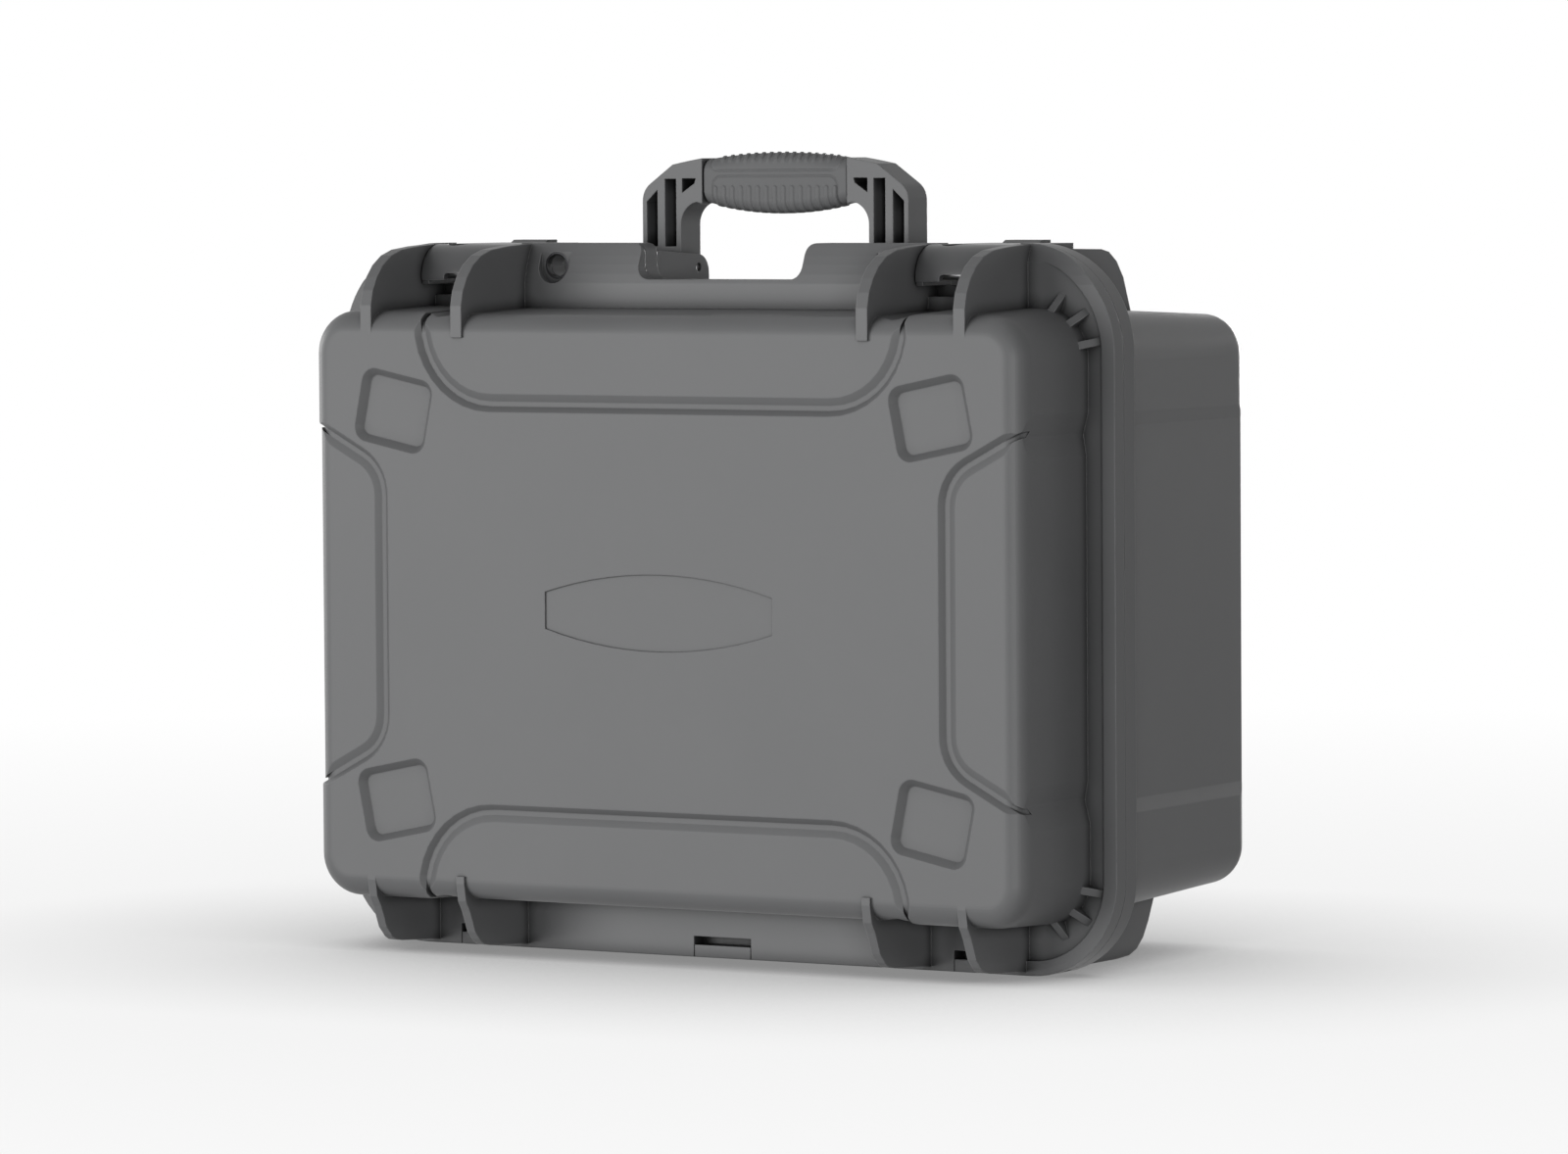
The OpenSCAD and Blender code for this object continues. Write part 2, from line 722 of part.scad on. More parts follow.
pin_sink = 1.5;
module handle_pin() {
  cross_bar(handle_pin_r, inner_ear - ear_t / 2 + pin_sink, outer_ear + ear_t / 2 - pin_sink, pivot_y, -pivot_s);
}

// Base ribs, seen from the side; depth counts away from the parting plane.
top_rib_reach = 100.5;
low_rib_reach = 128;
module base_top_rib() {
  end = top_rib_reach;
  upright(rib_top) polygon([[half_h - 7, part_gap], [flange_hi - 0.6, part_gap],
    [flange_hi - 0.6, base_flange], [half_h + 29.5, 20], [half_h + 28.5, end - 30.5], [half_h + 27, end - 22.5],
    [half_h + 22, end - 14.5], [half_h + 13.5, end - 7.5], [half_h - 4, end], [half_h - 7, end]]);
}

module base_low_rib() {
  end = low_rib_reach;
  upright(rib_low) polygon([[7 - half_h, part_gap], [-flange_lo, part_gap], [-flange_lo, end - 44],
    [0.8 - flange_lo, end - 30], [3.5 - flange_lo, end - 22], [9 - flange_lo, end - 15],
    [17 - flange_lo, end - 9.5], [9 - half_h, end]]);
}

// The lower edge of the base's flange leans away, so that the lid swings past upright.
swing_more = 16;
swing_up = 4.8;
module swing_relief() {
  upright(2 * flange_x) polygon([[-flange_lo - 1, -1],
    [-flange_lo - 1, part_gap + (swing_up + 1) * tan(swing_more)],
    [swing_up - flange_lo + (part_gap + 1) / tan(swing_more), -1]]);
}

// The base's side walls step in between the corner blocks.
module base_side_recess() {
  half = 103;
  drop = 2;
  run = 7;
  out = 6;
  wide = half + out * run / drop;
  both_sides() translate([half_w, 0, 0]) rotate([0, -draft, 0])
    translate([0, 0, base_flange - 1]) linear_extrude(height = base_depth)
      polygon([[out, wide], [-drop, half - run], [-drop, run - half], [out, -wide]]);
}

module base_shell() {
  color(shell_grey) standing() {
    difference() {
      union() {
        in_base() difference() {
          union() {
            difference() {
              translate([0, 0, part_gap]) tub(base_corner, base_depth - part_gap, base_fillet, 0);
              base_side_recess();
            }
            translate([0, 0, part_gap]) linear_extrude(height = base_flange) difference() {
              flange_outline(0);
              notch();
            }
            at_top_ribs() base_top_rib();
            at_low_ribs() base_low_rib();
            translate([0, 0, base_depth]) at_pockets()
              pad(pocket_w - 2 * foot_gap, pocket_h - 2 * foot_gap, pocket_r - foot_gap, foot_h, pocket_slope - 1);
            translate([0, 0, base_depth - 1]) linear_extrude(height = 1.5) at_pockets()
              round_rect(pocket_w - 4 * foot_gap, pocket_h - 4 * foot_gap, pocket_r - 2 * foot_gap);
          }
          swing_relief();
          translate([0, 0, part_gap]) tub_hollow(base_corner, base_depth - part_gap, base_fillet);
          both_sides() translate([latch_x0(), window_base, -1]) cube([latch_bay, 60, base_flange + 2]);
        }
        translate([0, 0, -part_gap - eps]) linear_extrude(height = part_gap + seal_d - seal_t)
          seal_band(ridge_w);
        ears();
        base_knuckles();
      }
      padlock_place() translate([0, 0, -base_flange - 1]) cylinder(r = padlock_r, h = base_flange + 2);
      both_sides() at_right_bay() cross_bar(keeper_r + hold_fit, -latch_bay / 2 - pin_into_rib,
        latch_bay / 2 + pin_into_rib, keeper_y, -keeper_s);
      both_sides() cross_bar(handle_pin_r + hold_fit, inner_ear - ear_t, outer_ear + ear_t,
        pivot_y, -pivot_s);
      hinge_bores(hinge_pin_r + hold_fit);
    }
  }
}

module lid_shell() {
  color(shell_grey) standing() {
    difference() {
      union() {
        difference() {
          union() {
            lid_core();
            difference() {
              linear_extrude(height = lid_flange) difference() {
                flange_outline(0);
                notch();
              }
              gutter();
              crest_cut();
              hinge_line_cut();
            }
            hinge_bead();
            at_top_ribs() lid_top_rib();
            at_low_ribs() lid_low_rib();
            corner_gussets();
          }
          tub_hollow(lid_corner, lid_depth, lid_fillet);
        }
        translate([0, 0, lid_depth - pocket_depth - 3]) linear_extrude(height = pocket_depth + 1)
          at_pockets() round_rect(pocket_w + 1, pocket_h + 1, pocket_r);
      }
      translate([0, 0, lid_depth + eps]) at_pockets() mirror([0, 0, 1])
        pad(pocket_w, pocket_h, pocket_r, pocket_depth, pocket_slope);
      label_field();
      translate([0, 0, -1]) linear_extrude(height = 1 + seal_d) seal_band(seal_w);
      both_sides() translate([latch_x0(), window_lid, -1]) cube([latch_bay, 60, lid_flange + 2]);
      both_sides() at_right_bay() cross_bar(latch_pin_r + hold_fit, -latch_bay / 2 - pin_into_rib,
        latch_bay / 2 + pin_into_rib, latch_y, latch_z);
      hinge_slots();
      hinge_bores(hinge_pin_r + run_fit);
      padlock_cut();
    }
  }
}

// The bare label field: flat ends, and long sides that bulge.
module label_field() {
  rise = (label_mid - label_end) / 2;
  bow = (label_half * label_half + rise * rise) / (2 * rise);
  translate([0, 0, lid_depth - label_drop]) linear_extrude(height = 2) intersection() {
    square([2 * label_half, label_mid], center = true);
    translate([0, label_mid / 2 - bow]) circle(r = bow, $fn = 720);
    translate([0, bow - label_mid / 2]) circle(r = bow, $fn = 720);
  }
}

module lid_seal() {
  color(rubber_grey) standing() translate([0, 0, seal_d - seal_t + hold_fit])
    linear_extrude(height = seal_t - hold_fit) seal_band(seal_w - 2 * hold_fit);
}

// Foam: straight blocks that fit the narrow end of each hollow.
foam_fit = 0.6;
tray_top = 6;
tray_low = base_depth - wall - floor_pad;
tray_w = body_w - 2 * (wall + tray_low * tan(draft) + foam_fit);
tray_h = body_h - 2 * (wall + tray_low * tan(draft) + foam_fit);
tray_r = base_corner - wall;
module base_foam_tray() {
  pocket_end = tray_top + laptop_t;
  color(foam_grey) standing() in_base() difference() {
    translate([0, 0, tray_top]) linear_extrude(height = tray_low - tray_top) round_rect(tray_w, tray_h, tray_r);
    translate([0, 0, tray_top - 1]) linear_extrude(height = laptop_t + 1) round_rect(laptop_w, laptop_h, 12);
    translate([-laptop_w / 4, 0, pocket_end - 1]) linear_extrude(height = accessory_t + 1)
      round_rect(laptop_w / 2 - 40, laptop_h - 60, 10);
    translate([laptop_w / 4, 0, pocket_end - 1]) linear_extrude(height = accessory_t + 1)
      round_rect(laptop_w / 2 - 40, laptop_h - 60, 10);
  }
}

pad_in = floor_pad * tan(draft) + base_fillet - wall + foam_fit;
pad_w = tray_w - 2 * pad_in;
pad_h = tray_h - 2 * pad_in;
module base_foam_floor() {
  color(foam_grey) standing() in_base() translate([0, 0, tray_low])
    linear_extrude(height = floor_pad) round_rect(pad_w, pad_h, tray_r);
}

lid_foam_top = lid_depth - pocket_depth - 3;
lid_foam_low = 8;
module lid_foam() {
  side = wall + lid_foam_top * tan(draft) + foam_fit + 2.2;
  color(foam_grey) standing() translate([0, 0, lid_foam_low])
    linear_extrude(height = lid_foam_top - lid_foam_low)
      round_rect(body_w - 2 * side, body_h - 2 * side, lid_corner - wall);
}

module handle_frame() {
  color(shell_grey) standing() difference() {
    union() {
      difference() {
        handle_solid();
        translate([-grip_half, half_h, -pivot_s - handle_t]) cube([2 * grip_half, 4 * crown_h, 2 * handle_t]);
      }
      handle_core(0);
    }
    leg_slots();
    both_sides() cross_bar(handle_pin_r + run_fit, leg_in - 1, leg_out + 1, pivot_y, -pivot_s);
  }
}

module handle_grip() {
  side_gap = 0.05;
  color(rubber_grey) standing() difference() {
    intersection() {
      handle_solid();
      upright(2 * (grip_half - side_gap)) grip_side();
    }
    handle_core(hold_fit);
  }
}

module handle_pin_left() {
  color(steel_grey) standing() mirror([1, 0, 0]) handle_pin();
}

module handle_pin_right() {
  color(steel_grey) standing() handle_pin();
}

module latch_lever_left() {
  color(shell_grey) standing() at_left_bay() latch_lever();
}

module latch_lever_right() {
  color(shell_grey) standing() at_right_bay() latch_lever();
}

module latch_pin_left() {
  color(steel_grey) standing() at_left_bay() latch_pin();
}

module latch_pin_right() {
  color(steel_grey) standing() at_right_bay() latch_pin();
}

module latch_keeper_left() {
  color(steel_grey) standing() at_left_bay() keeper_bar();
}

module latch_keeper_right() {
  color(steel_grey) standing() at_right_bay() keeper_bar();
}

module hinge_pin_left() {
  color(steel_grey) standing() hinge_pin(-1);
}

module hinge_pin_middle() {
  color(steel_grey) standing() hinge_pin(0);
}

module hinge_pin_right() {
  color(steel_grey) standing() hinge_pin(1);
}

module padlock_eyelet_left() {
  color(steel_grey) standing() mirror([1, 0, 0]) padlock_eyelet();
}

module padlock_eyelet_right() {
  color(steel_grey) standing() padlock_eyelet();
}

base_shell();
lid_shell();
lid_seal();
base_foam_tray();
base_foam_floor();
lid_foam();
handle_frame();
handle_grip();
handle_pin_left();
handle_pin_right();
latch_lever_left();
latch_lever_right();
latch_pin_left();
latch_pin_right();
latch_keeper_left();
latch_keeper_right();
hinge_pin_left();
hinge_pin_middle();
hinge_pin_right();
padlock_eyelet_left();
padlock_eyelet_right();
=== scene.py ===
import json
import math

import bmesh
import bpy
from mathutils import Matrix, Vector


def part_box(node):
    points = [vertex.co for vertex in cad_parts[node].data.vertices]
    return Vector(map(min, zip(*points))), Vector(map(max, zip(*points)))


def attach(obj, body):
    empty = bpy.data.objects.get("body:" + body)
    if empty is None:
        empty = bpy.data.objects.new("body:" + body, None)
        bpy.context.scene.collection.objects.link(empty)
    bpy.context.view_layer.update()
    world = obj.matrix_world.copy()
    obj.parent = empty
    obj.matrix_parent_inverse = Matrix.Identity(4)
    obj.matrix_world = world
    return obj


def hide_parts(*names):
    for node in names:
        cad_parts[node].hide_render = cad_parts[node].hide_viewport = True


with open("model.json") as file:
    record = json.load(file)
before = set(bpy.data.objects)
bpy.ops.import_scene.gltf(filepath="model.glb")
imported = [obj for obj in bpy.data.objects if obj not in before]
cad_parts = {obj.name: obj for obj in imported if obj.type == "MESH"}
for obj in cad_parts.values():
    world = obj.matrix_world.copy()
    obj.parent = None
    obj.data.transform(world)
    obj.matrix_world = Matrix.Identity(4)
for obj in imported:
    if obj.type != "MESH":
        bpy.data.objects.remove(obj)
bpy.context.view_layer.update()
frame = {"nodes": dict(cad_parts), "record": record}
print("frame loaded")


# Turns a bmesh into an object that is shaded smooth except at its sharp edges.
def finishMesh(name, bm, smoothAngle=35):
    bmesh.ops.recalc_face_normals(bm, faces=bm.faces)
    for face in bm.faces:
        face.smooth = True
    limit = math.radians(smoothAngle)
    for edge in bm.edges:
        edge.smooth = edge.calc_face_angle(0) < limit
    mesh = bpy.data.meshes.new(name)
    bm.to_mesh(mesh)
    bm.free()
    piece = bpy.data.objects.new(name, mesh)
    bpy.context.scene.collection.objects.link(piece)
    return piece


# Camera at the photograph's angle. Its place is given from the middle of the lid's face.
cameraLook = {
    "azimuth": 31.893,
    "pitch": 3.124,
    "roll": -0.394,
    "lens": 180.573,
    "distance": 4.0127,
    "aimRight": 0.0770,
    "aimUp": 0.0207,
    "bodyMiddle": 0.184,
}


def makeCamera(look):
    turn, tilt, roll = (math.radians(look[key]) for key in ("azimuth", "pitch", "roll"))
    back = Vector((math.sin(turn) * math.cos(tilt), -math.cos(turn) * math.cos(tilt), math.sin(tilt)))
    right = Vector((math.cos(turn), math.sin(turn), 0))
    up = back.cross(right)
    rolledRight = right * math.cos(roll) + up * math.sin(roll)
    rolledUp = up * math.cos(roll) - right * math.sin(roll)
    aim = Vector((look["aimRight"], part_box("lid_shell")[0].y, look["bodyMiddle"] + look["aimUp"]))
    data = bpy.data.cameras.new("camera")
    data.lens = look["lens"]
    data.sensor_width = 36
    data.clip_end = 100
    camera = bpy.data.objects.new("camera", data)
    bpy.context.scene.collection.objects.link(camera)
    axes = Matrix((rolledRight, rolledUp, back)).transposed().to_4x4()
    camera.matrix_world = Matrix.Translation(aim + back * look["distance"]) @ axes
    bpy.context.scene.camera = camera


makeCamera(cameraLook)
print("camera made")


# Materials


# A material with its Principled shader and its object coordinates, and nothing else in its tree.
def newMaterial(name):
    material = bpy.data.materials.new(name)
    material.use_nodes = True
    nodes = material.node_tree.nodes
    nodes.clear()
    output = nodes.new("ShaderNodeOutputMaterial")
    shader = nodes.new("ShaderNodeBsdfPrincipled")
    material.node_tree.links.new(shader.outputs["BSDF"], output.inputs["Surface"])
    coordinates = nodes.new("ShaderNodeTexCoord")
    return material, shader, coordinates.outputs["Object"]


# A node with its settings, and its sockets set to values or joined to other sockets.
def addNode(tree, kind, inputs=None, **settings):
    node = tree.nodes.new(kind)
    for key, value in settings.items():
        setattr(node, key, value)
    for key, value in (inputs or {}).items():
        if isinstance(value, bpy.types.NodeSocket):
            tree.links.new(value, node.inputs[key])
        else:
            node.inputs[key].default_value = value
    return node


def addGroup(tree, group, inputs):
    return addNode(tree, "ShaderNodeGroup", inputs, node_tree=group)


# A two-colour ramp: stops are (position, colour) pairs.
def addRamp(tree, factor, stops):
    ramp = addNode(tree, "ShaderNodeValToRGB", {"Fac": factor})
    for element, (position, colour) in zip(ramp.color_ramp.elements, stops):
        element.position = position
        element.color = (*colour, 1)
    return ramp.outputs["Color"]


# A shader group with named sockets; inputs maps a name to (socket kind, default).
def newGroup(name, inputs, outputs):
    group = bpy.data.node_groups.new(name, "ShaderNodeTree")
    for key, (kind, value) in inputs.items():
        socket = group.interface.new_socket(key, in_out="INPUT", socket_type=kind)
        if value is not None:
            socket.default_value = value
    for key, kind in outputs.items():
        group.interface.new_socket(key, in_out="OUTPUT", socket_type=kind)
    return group, group.nodes.new("NodeGroupInput"), group.nodes.new("NodeGroupOutput")


# How strongly a point lies on an edge, which weights a painted edge highlight, and the normal rounded over
# edges.
def makeEdgeGroup():
    group, start, end = newGroup(
        "roundedEdges",
        {"Radius": ("NodeSocketFloat", 0.001), "Highlight": ("NodeSocketFloat", 0.5)},
        {"Edge": "NodeSocketFloat", "Normal": "NodeSocketVector"},
    )
    bevel = addNode(group, "ShaderNodeBevel", {"Radius": start.outputs["Radius"]}, samples=6)
    geometry = addNode(group, "ShaderNodeNewGeometry")
    dot = addNode(
        group, "ShaderNodeVectorMath", {0: bevel.outputs[0], 1: geometry.outputs["True Normal"]},
        operation="DOT_PRODUCT")
    turned = addNode(
        group, "ShaderNodeMapRange",
        {"Value": dot.outputs["Value"], "From Min": 0.995, "From Max": 0.85, "To Min": 0, "To Max": 1})
    edge = addNode(
        group, "ShaderNodeMath", {0: turned.outputs["Result"], 1: start.outputs["Highlight"]},
        operation="MULTIPLY")
    group.links.new(edge.outputs[0], end.inputs["Edge"])
    group.links.new(bevel.outputs[0], end.inputs["Normal"])
    return group


# Fine moulded grain with broad, faint patches: a height, and a shade from 0 to 1.
def makeGrainGroup():
    group, start, end = newGroup(
        "mouldedGrain",
        {
            "Vector": ("NodeSocketVector", None),
            "Grain": ("NodeSocketFloat", 1500),
            "Patch": ("NodeSocketFloat", 14),
        },
        {"Height": "NodeSocketFloat", "Shade": "NodeSocketFloat"},
    )
    place, grain = start.outputs["Vector"], start.outputs["Grain"]
    fine = addNode(group, "ShaderNodeTexNoise", {"Vector": place, "Scale": grain, "Detail": 3})
    cells = addNode(group, "ShaderNodeTexVoronoi", {"Vector": place, "Scale": grain})
    height = addNode(
        group, "ShaderNodeMath", {0: fine.outputs[0], 1: cells.outputs["Distance"]}, operation="ADD")
    broad = addNode(
        group, "ShaderNodeTexNoise", {"Vector": place, "Scale": start.outputs["Patch"], "Detail": 4})
    group.links.new(height.outputs[0], end.inputs["Height"])
    group.links.new(broad.outputs[0], end.inputs["Shade"])
    return group


# A colour that darkens where the surface lies in a groove or a narrow gap: painted shade, found by ambient
# occlusion.
def makeCreviceShadeGroup():
    group, start, end = newGroup(
        "paintedCreviceShade",
        {
            "Color": ("NodeSocketColor", (0.08, 0.08, 0.08, 1)),
            "Reach": ("NodeSocketFloat", 0.008),
            "Depth": ("NodeSocketFloat", 0.6),
        },
        {"Color": "NodeSocketColor"},
    )
    hidden = addNode(group, "ShaderNodeAmbientOcclusion", {"Distance": start.outputs["Reach"]}, samples=8)
    shut = addNode(
        group, "ShaderNodeMapRange",
        {"Value": hidden.outputs["AO"], "From Min": 0.3, "From Max": 0.92, "To Min": 1, "To Max": 0})
    amount = addNode(
        group, "ShaderNodeMath", {0: shut.outputs["Result"], 1: start.outputs["Depth"]},
        operation="MULTIPLY")
    shaded = addNode(
        group, "ShaderNodeMixRGB",
        {"Fac": amount.outputs[0], "Color1": start.outputs["Color"], "Color2": (0.002, 0.002, 0.002, 1)})
    group.links.new(shaded.outputs["Color"], end.inputs["Color"])
    return group


edgeGroup = makeEdgeGroup()
creviceShadeGroup = makeCreviceShadeGroup()
grainGroup = makeGrainGroup()


plasticLooks = {
    "shellPlastic": {
        "dark": (0.098, 0.099, 0.101), "light": (0.105, 0.106, 0.108), "edgeHighlight": (0.26, 0.26, 0.265),
        "roughness": (0.4, 0.48), "grain": 1700, "bump": 0.00002, "round": 0.0009, "highlightStrength": 0.35,
        "specular": 0.15, "reach": 0.009, "creviceShade": 0.95},
    "latchPlastic": {
        "dark": (0.08, 0.081, 0.083), "light": (0.09, 0.091, 0.093), "edgeHighlight": (0.3, 0.3, 0.305),
        "roughness": (0.32, 0.4), "grain": 2200, "bump": 0.00002, "round": 0.0007, "highlightStrength": 0.5,
        "specular": 0.22, "reach": 0.012, "creviceShade": 0.9},
    "gripRubber": {
        "dark": (0.094, 0.095, 0.097), "light": (0.102, 0.103, 0.105), "edgeHighlight": (0.18, 0.18, 0.183),
        "roughness": (0.52, 0.62), "grain": 2600, "bump": 0.00003, "round": 0.0003, "highlightStrength": 0.3,
        "specular": 0.14, "reach": 0.002, "creviceShade": 0.6},
    "sealRubber": {
        "dark": (0.03, 0.03, 0.031), "light": (0.04, 0.04, 0.041), "edgeHighlight": (0.06, 0.06, 0.06),
        "roughness": (0.6, 0.7), "grain": 2600, "bump": 0.00003, "round": 0.0004, "highlightStrength": 0.2,
        "specular": 0.12, "reach": 0.003, "creviceShade": 0.5},
}


def makePlastic(name):
    look = plasticLooks[name]
    material, shader, position = newMaterial(name)
    tree = material.node_tree
    grain = addGroup(tree, grainGroup, {"Vector": position, "Grain": look["grain"]})
    edges = addGroup(tree, edgeGroup, {"Radius": look["round"], "Highlight": look["highlightStrength"]})
    colour = addRamp(tree, grain.outputs["Shade"], ((0.35, look["dark"]), (0.65, look["light"])))
    # Edges get a lighter colour: a painted highlight along the edges.
    edgeHighlight = addNode(
        tree, "ShaderNodeMixRGB",
        {"Fac": edges.outputs["Edge"], "Color1": colour, "Color2": (*look["edgeHighlight"], 1)})
    # Grooves and narrow gaps get painted shade in the base colour.
    shaded = addGroup(
        tree, creviceShadeGroup,
        {"Color": edgeHighlight.outputs["Color"], "Reach": look["reach"], "Depth": look["creviceShade"]})
    tree.links.new(shaded.outputs["Color"], shader.inputs["Base Color"])
    rough = addNode(
        tree, "ShaderNodeMapRange",
        {"Value": grain.outputs["Shade"], "To Min": look["roughness"][0], "To Max": look["roughness"][1]})
    tree.links.new(rough.outputs["Result"], shader.inputs["Roughness"])
    shader.inputs["Specular IOR Level"].default_value = look["specular"]
    bump = addNode(
        tree, "ShaderNodeBump",
        {"Height": grain.outputs["Height"], "Distance": look["bump"], "Normal": edges.outputs["Normal"]})
    tree.links.new(bump.outputs["Normal"], shader.inputs["Normal"])
    return material


steelLooks = {
    "brushedSteel": {
        "colour": (0.56, 0.56, 0.57), "roughness": (0.22, 0.4), "lines": 900, "stretch": 0.03,
        "bump": 0.00001, "round": 0.0003},
    # A dark steel, its colour painted shade for the padlock holes.
    "eyeletShadeSteel": {
        "colour": (0.035, 0.035, 0.037), "roughness": (0.3, 0.5), "lines": 900, "stretch": 0.03,
        "bump": 0.00001, "round": 0.0003},
}


def makeSteel(name):
    look = steelLooks[name]
    material, shader, position = newMaterial(name)
    tree = material.node_tree
    stretched = addNode(tree, "ShaderNodeMapping", {"Vector": position, "Scale": (look["stretch"], 1, 1)})
    lines = addNode(
        tree, "ShaderNodeTexNoise",
        {"Vector": stretched.outputs["Vector"], "Scale": look["lines"], "Detail": 3})
    edges = addGroup(tree, edgeGroup, {"Radius": look["round"], "Highlight": 0.0})
    rough = addNode(
        tree, "ShaderNodeMapRange",
        {"Value": lines.outputs[0], "To Min": look["roughness"][0], "To Max": look["roughness"][1]})
    bump = addNode(
        tree, "ShaderNodeBump",
        {"Height": lines.outputs[0], "Distance": look["bump"], "Normal": edges.outputs["Normal"]})
    shader.inputs["Base Color"].default_value = (*look["colour"], 1)
    shader.inputs["Metallic"].default_value = 1
    tree.links.new(rough.outputs["Result"], shader.inputs["Roughness"])
    tree.links.new(bump.outputs["Normal"], shader.inputs["Normal"])
    return material


foamLook = {
    "dark": (0.012, 0.012, 0.013), "light": (0.05, 0.05, 0.053), "cells": 900, "finer": 2.6,
    "depth": 0.0004, "roughness": 0.95, "sheen": 0.15}


def makeFoam(look):
    material, shader, position = newMaterial("openCellFoam")
    tree = material.node_tree
    cells = addNode(
        tree, "ShaderNodeTexVoronoi", {"Vector": position, "Scale": look["cells"]}, feature="SMOOTH_F1")
    fine = addNode(
        tree, "ShaderNodeTexNoise",
        {"Vector": position, "Scale": look["finer"] * look["cells"], "Detail": 2})
    height = addNode(
        tree, "ShaderNodeMath", {0: cells.outputs["Distance"], 1: fine.outputs[0]}, operation="MULTIPLY")
    colour = addRamp(tree, height.outputs[0], ((0.08, look["dark"]), (0.3, look["light"])))
    tree.links.new(colour, shader.inputs["Base Color"])
    shader.inputs["Roughness"].default_value = look["roughness"]
    shader.inputs["Sheen Weight"].default_value = look["sheen"]
    bump = addNode(tree, "ShaderNodeBump", {"Height": height.outputs[0], "Distance": look["depth"]})
    tree.links.new(bump.outputs["Normal"], shader.inputs["Normal"])
    return material


shellPlastic = makePlastic("shellPlastic")
latchPlastic = makePlastic("latchPlastic")
gripRubber = makePlastic("gripRubber")
sealRubber = makePlastic("sealRubber")
brushedSteel = makeSteel("brushedSteel")
eyeletShadeSteel = makeSteel("eyeletShadeSteel")
openCellFoam = makeFoam(foamLook)

nodeMaterials = {
    "shell": shellPlastic,
    "latch": latchPlastic,
    "soft_rubber": sealRubber,
    "foam": openCellFoam,
    "steel": brushedSteel,
}
for part in frame["record"]["subparts"]:
    node = frame["nodes"][part["node"]]
    material = nodeMaterials[part["material_slot"]]
    # The padlock eyelets take the dark steel: painted shade of their holes.
    if part["node"].startswith("padlock_eyelet"):
        material = eyeletShadeSteel
    node.data.materials.clear()
    node.data.materials.append(material)
print("materials made")


# The rubber grip: ribs along its lower half, two fine lines and a slanted tread on its crown.

gripLook = {
    "crownRadius": 0.308,
    "bellyRadius": 0.188,
    "edgeRound": 0.0068,
    "columns": 300,
    "perCorner": 14,
    "perSide": (56, 22, 56, 22),  # back, crown, front, belly
    "skin": 0.0006,
    "endRound": 0.0012,
    "endDrop": 0.0009,
    "pitch": 0.0053,
    "ribs": 15,
    "ribHalf": 0.0013,
    "ribTop": 0.0142,
    "ribHeight": 0.0006,
    "lowerLine": 0.0192,
    "upperLine": 0.0222,
    "lineEnd": 0.0405,
    "lineBend": 0.005,
    "lineDepth": 0.0004,
    "lineStep": 0.002,
    "treadPitch": 0.0047,
    "treadLow": 0.0262,
    "treadSlant": (0.55, 0.45),  # along x for each metre across, and for each metre down
}


def smoothStep(edge0, edge1, x):
    t = min(max((x - edge0) / (edge1 - edge0), 0), 1)
    return t * t * (3 - 2 * t)


# (y, z, normal y, normal z) round a rounded rectangle; the count is the same for every section.
def gripSection(look, bottom, top, front, back):
    radius = look["edgeRound"]
    corners = [
        (back - radius, bottom + radius, -90), (back - radius, top - radius, 0),
        (front + radius, top - radius, 90), (front + radius, bottom + radius, 180)]
    points = []
    for k, ((y, z, start), count) in enumerate(zip(corners, look["perSide"])):
        for i in range(look["perCorner"] + 1):
            a = math.radians(start + 90 * i / look["perCorner"])
            points.append((y + radius * math.cos(a), z + radius * math.sin(a), math.cos(a), math.sin(a)))
        fromY, fromZ, normalY, normalZ = points[-1]
        nextY, nextZ, after = corners[(k + 1) % len(corners)]
        b = math.radians(after)
        toY, toZ = nextY + radius * math.cos(b), nextZ + radius * math.sin(b)
        for i in range(1, count):
            t = i / count
            points.append((fromY + (toY - fromY) * t, fromZ + (toZ - fromZ) * t, normalY, normalZ))
    return points


# How far the ribs, the two lines and the tread move a point of the grip along its normal.
def gripLift(look, x, y, z, bottom, top, middleY):
    height = z - bottom
    crown = z - top
    lift = 0.0
    half = look["pitch"] * look["ribs"] / 2
    if abs(x) < half:
        place = abs((x + half) % look["pitch"] - look["pitch"] / 2)
        beyond = max(0.0, height - look["ribTop"] + look["ribHalf"])
        reach = math.hypot(place, beyond)
        lift += look["ribHeight"] * (1 - smoothStep(0.7 * look["ribHalf"], 1.25 * look["ribHalf"], reach))
    bend = look["lineBend"]
    shorter = look["lineEnd"] - look["lineStep"]
    for level, way, end in ((look["lowerLine"], -1, shorter), (look["upperLine"], 1, look["lineEnd"])):
        across = abs(x) - end + bend
        along = way * (level - height) + bend
        distance = math.hypot(max(across, 0), max(along, 0)) + min(max(across, along), 0) - bend
        lift -= look["lineDepth"] * (1 - smoothStep(0.0003, 0.0007, abs(distance)))
    if height > look["treadLow"] and abs(x) < shorter:
        slantY, slantZ = look["treadSlant"]
        slide = x + slantY * (y - middleY) - slantZ * crown
        wave = abs((slide / look["treadPitch"]) % 1 - 0.5) * 2
        fade = smoothStep(look["treadLow"], look["treadLow"] + 0.0015, height)
        fade *= 1 - smoothStep(shorter - 0.004, shorter, abs(x))
        lift += look["ribHeight"] * fade * (1 - smoothStep(0.3, 0.6, wave))
    return lift


